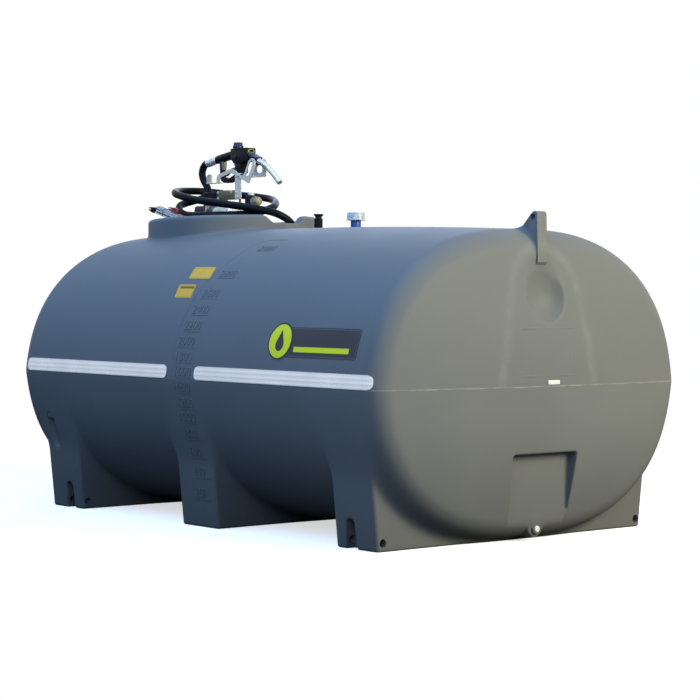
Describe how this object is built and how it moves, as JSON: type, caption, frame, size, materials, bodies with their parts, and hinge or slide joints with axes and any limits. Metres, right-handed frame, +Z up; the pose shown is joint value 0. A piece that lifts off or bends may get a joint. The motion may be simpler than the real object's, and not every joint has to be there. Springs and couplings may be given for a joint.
{
  "type": "diesel storage tank with pump",
  "caption": "Horizontal moulded oval tank on full-width saddles, with a round top well that holds a transfer pump, its hose and nozzle, and a lifting fin on each end.",
  "frame": {"origin": "middle of the tank's plan, on the ground under its saddles", "axes": "+X along the tank to the end with the drain plug, +Y across it, +Z up"},
  "size_m": [2.363, 1.5634, 1.523],
  "materials": {
    "grey_polyethylene": "satin, moulded",
    "black_plastic": "satin",
    "white_plastic": "semi-gloss",
    "reflective_tape": "beaded",
    "dark_label": "gloss film with green-yellow bands",
    "yellow_label": "gloss film",
    "blue_plastic": "semi-gloss",
    "clear_plastic": "translucent",
    "passivated_steel": "yellow passivated",
    "galvanised_steel": "galvanised",
    "cast_aluminium": "cast, satin",
    "dark_fitting": "satin",
    "beige_plastic": "satin",
    "black_rubber": "satin",
    "cable_sheath": "satin",
    "red_plastic": "semi-gloss"
  },
  "bodies": {
    "tank": {"barrel": "grey_polyethylene", "near_end": "grey_polyethylene", "far_end": "grey_polyethylene", "near_saddle": "grey_polyethylene", "centre_saddle": "grey_polyethylene", "far_saddle": "grey_polyethylene", "near_lug": "grey_polyethylene", "far_lug": "grey_polyethylene", "well_collar": "grey_polyethylene", "well_floor": "grey_polyethylene", "filler_cap": "black_plastic", "drain_plug": "white_plastic", "side_strips": "reflective_tape", "end_reflectors": "white_plastic", "side_labels": "dark_label", "yellow_labels": "yellow_label", "breather_vent": "black_plastic", "gauge_base": "blue_plastic", "gauge_cap": "clear_plastic", "pump_stand": "passivated_steel", "pump_head": "cast_aluminium", "pump_motor": "cast_aluminium", "outlet_pipe": "dark_fitting", "suction_pipe": "dark_fitting", "filter_head": "black_plastic", "filter_bowl": "beige_plastic", "switch_box": "black_plastic", "holster_post": "galvanised_steel", "nozzle_holster": "galvanised_steel", "nozzle_body": "black_plastic", "nozzle_cap": "black_plastic", "nozzle_spout": "cast_aluminium", "nozzle_guard": "black_plastic", "hose_swivel": "cast_aluminium", "hose_ferrule": "cast_aluminium", "delivery_hose": "black_rubber", "lead_hank": "cable_sheath", "lead_tail": "cable_sheath", "black_clamp": "black_plastic", "red_clamp": "red_plastic"},
    "lever": {"nozzle_lever": "dark_fitting"}
  },
  "joints": [
    {"name": "nozzle_trigger", "type": "hinge", "parent": "tank", "child": "lever", "pos_m": [-0.63, 0, 1.413], "axis": [0, 1, 0], "range_deg": [0, 15], "stiffness_Nm_per_rad": 2, "springref_deg": -11.46}
  ]
}
